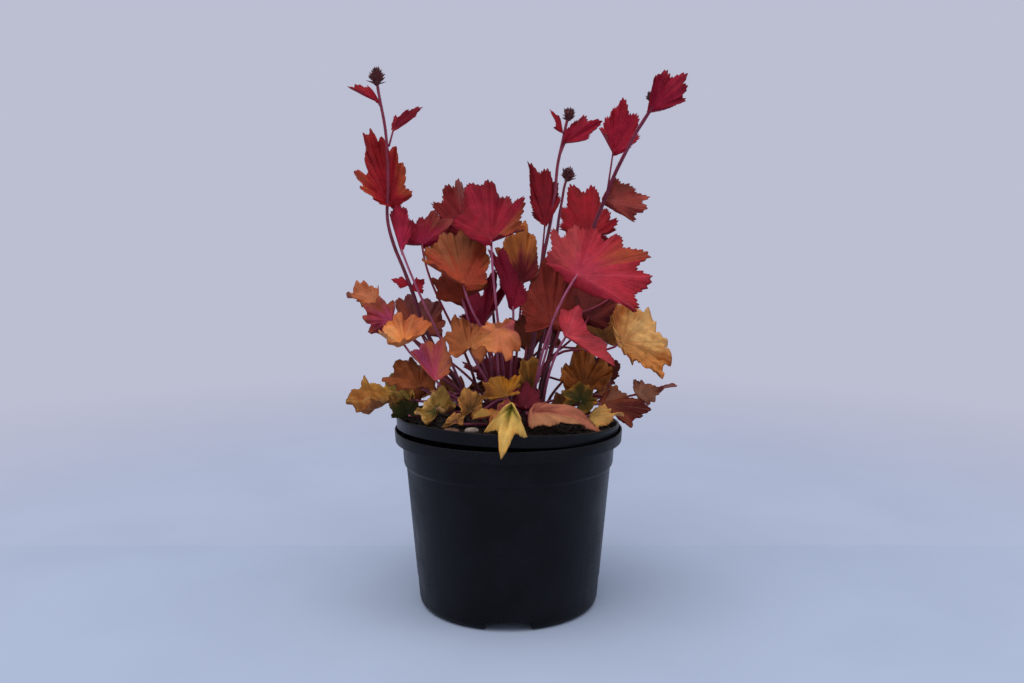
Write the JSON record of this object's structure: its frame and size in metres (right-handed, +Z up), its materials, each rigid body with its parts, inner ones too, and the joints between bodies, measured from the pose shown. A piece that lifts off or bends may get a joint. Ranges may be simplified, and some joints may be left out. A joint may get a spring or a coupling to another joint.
{
  "type": "potted heuchera plant",
  "caption": "Heuchera (coral bells) in bud, with lobed amber and crimson leaves and leafy flower stems, in a black nursery pot that stands in a second one.",
  "frame": {"origin": "middle of the outer pot's foot, on the surface it stands on", "axes": "+Z up; -Y towards the front, the side the plant is seen from; +X to the right seen from the front"},
  "size_m": [0.2823, 0.2186, 0.447],
  "materials": {
    "pot_plastic": "satin, slightly dusty",
    "compost": "matt, crumbly peat-free compost",
    "leaf_rust": "satin leaf",
    "bud": "matt",
    "leaf_crimson": "satin leaf",
    "stem": "satin",
    "leaf_salmon": "satin leaf",
    "leaf_magenta": "satin leaf",
    "leaf_orange": "satin leaf",
    "leaf_amber": "satin leaf",
    "leaf_olive": "satin leaf",
    "leaf_dusky": "satin leaf",
    "leaf_tan": "satin leaf",
    "leaf_gold": "satin leaf",
    "leaf_rose": "satin leaf",
    "crown_bark": "rough",
    "stone": "matt"
  },
  "bodies": {
    "root": {"outer_pot": "pot_plastic", "inner_pot": "pot_plastic", "compost": "compost", "flower_stem_left": "leaf_rust", "flower_head_left": "bud", "flower_stem_right": "leaf_crimson", "flower_head_right": "bud", "flower_stem_middle": "leaf_crimson", "flower_head_middle": "bud", "flower_stem_short": "stem", "flower_head_short": "bud", "leaf_left_tip": "leaf_salmon", "leaf_left_round": "leaf_magenta", "leaf_left_bright": "leaf_orange", "leaf_left_brown": "leaf_rust", "leaf_left_pink": "leaf_magenta", "leaf_left_amber": "leaf_amber", "leaf_left_low": "leaf_olive", "leaf_stem_magenta": "leaf_magenta", "leaf_left_crimson": "leaf_crimson", "leaf_mid_back": "leaf_rust", "leaf_mid_fan": "leaf_crimson", "leaf_mid_amber": "leaf_amber", "leaf_mid_rust": "leaf_rust", "leaf_mid_orange": "leaf_orange", "leaf_mid_magenta": "leaf_magenta", "leaf_young": "leaf_dusky", "leaf_mid_tan": "leaf_tan", "leaf_front_salmon": "leaf_salmon", "leaf_front_amber": "leaf_gold", "leaf_front_green": "leaf_olive", "leaf_front_star": "leaf_gold", "leaf_front_cupped": "leaf_olive", "leaf_front_curled": "leaf_tan", "leaf_front_tan": "leaf_tan", "leaf_front_yellow": "leaf_gold", "leaf_front_peach": "leaf_salmon", "leaf_right_fan": "leaf_rose", "leaf_right_cream": "leaf_gold", "leaf_right_red": "leaf_rose", "leaf_right_thin": "leaf_rust", "leaf_right_peach": "leaf_salmon", "leaf_right_ruffled": "leaf_amber", "leaf_right_green": "leaf_olive", "leaf_right_back": "leaf_crimson", "leaf_mid_brown": "leaf_rust", "leaf_right_dusky": "leaf_dusky", "leaf_right_pink": "leaf_rose", "leaf_right_gold": "leaf_gold", "leaf_right_tan": "leaf_tan", "leaf_back_left": "leaf_amber", "leaf_back_centre": "leaf_olive", "leaf_back_right": "leaf_rust", "leaf_back_low": "leaf_gold", "leaf_back_tall": "leaf_orange", "leaf_back_middle": "leaf_rust", "leaf_back_upper": "leaf_crimson", "crown": "crown_bark", "stone_pale": "stone", "stone_brown": "stone"}
  },
  "joints": []
}
